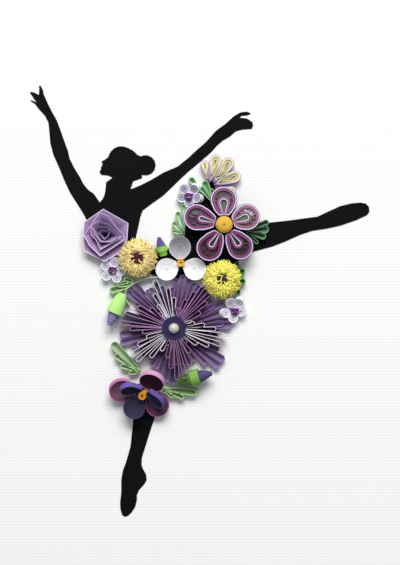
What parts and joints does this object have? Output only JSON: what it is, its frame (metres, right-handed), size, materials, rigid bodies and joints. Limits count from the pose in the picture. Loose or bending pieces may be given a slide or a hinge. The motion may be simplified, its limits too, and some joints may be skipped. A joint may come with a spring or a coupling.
{
  "type": "quilled paper art",
  "caption": "Quilled paper picture on a white card: a leaping dancer cut from black paper in a dress of rolled, looped and fringed paper flowers, buds and leaves.",
  "frame": {"origin": "middle of the back face of the backing card, which lies flat", "axes": "+Z out of the card towards the quilled side, +Y towards the top of the picture, +X to the right of the picture"},
  "size_m": [0.21, 0.297, 0.0135],
  "materials": {
    "white_card": "ridged white card, matt",
    "black_paper": "black paper with a satin face",
    "lilac_paper": "matt lilac strip",
    "cream_paper": "matt cream fringe",
    "yellow_paper": "matt yellow fringe",
    "maroon_paper": "matt dark tight coil",
    "plum_paper": "plum strips with a white edge and a navy wrap",
    "orange_paper": "matt orange tight coil",
    "white_paper": "matt white coils",
    "gem_plastic": "faceted glossy stone",
    "pearl_plastic": "half pearl",
    "lime_paper": "matt lime strip",
    "violet_paper": "matt violet strip",
    "fan_paper": "cream turns in a lilac wrap",
    "green_paper": "matt green strip loops with light edges",
    "mauve_paper": "mauve strip loops with white edges",
    "navy_paper": "matt navy tight coil",
    "pink_paper": "pink and burgundy rolled strip"
  },
  "bodies": {
    "root": {"backing_card": "white_card", "bud_cup_1": "lime_paper", "bud_cup_2": "lime_paper", "bud_cup_3": "lime_paper", "bud_point_1": "violet_paper", "bud_point_2": "violet_paper", "bud_point_3": "violet_paper", "cream_flower_heart": "maroon_paper", "cream_fringed_flower": "cream_paper", "dancer_silhouette": "black_paper", "dancer_standing_leg": "black_paper", "fan_petal_1": "fan_paper", "fan_petal_2": "fan_paper", "fan_petal_3": "fan_paper", "fan_petal_4": "fan_paper", "fan_petal_5": "fan_paper", "folded_rose": "lilac_paper", "husked_flower_disc": "navy_paper", "husked_flower_pearl": "pearl_plastic", "husked_lower_petals": "mauve_paper", "husked_upper_petal_1": "mauve_paper", "husked_upper_petal_2": "mauve_paper", "husked_upper_petal_3": "mauve_paper", "husked_upper_petal_4": "mauve_paper", "husked_upper_petal_5": "mauve_paper", "husked_upper_petal_6": "mauve_paper", "leaf_1": "green_paper", "leaf_2": "green_paper", "leaf_3": "green_paper", "leaf_4": "green_paper", "leaf_5": "green_paper", "leaf_6": "green_paper", "leaf_7": "green_paper", "pansy_centre": "orange_paper", "pansy_petal_1": "pink_paper", "pansy_petal_2": "pink_paper", "pansy_petal_3": "pink_paper", "pansy_petal_4": "violet_paper", "pansy_petal_5": "violet_paper", "pansy_petal_6": "violet_paper", "purple_flower_centre": "orange_paper", "purple_flower_petal_1": "plum_paper", "purple_flower_petal_2": "plum_paper", "purple_flower_petal_3": "plum_paper", "purple_flower_petal_4": "plum_paper", "purple_flower_petal_5": "plum_paper", "small_flower_gem_1": "gem_plastic", "small_flower_gem_2": "gem_plastic", "small_flower_gem_3": "gem_plastic", "small_white_flower_1": "white_paper", "small_white_flower_2": "white_paper", "small_white_flower_3": "white_paper", "white_trefoil_centre": "orange_paper", "white_trefoil_petal_1": "white_paper", "white_trefoil_petal_2": "white_paper", "white_trefoil_petal_3": "white_paper", "yellow_flower_heart": "maroon_paper", "yellow_fringed_flower": "yellow_paper"}
  },
  "joints": []
}
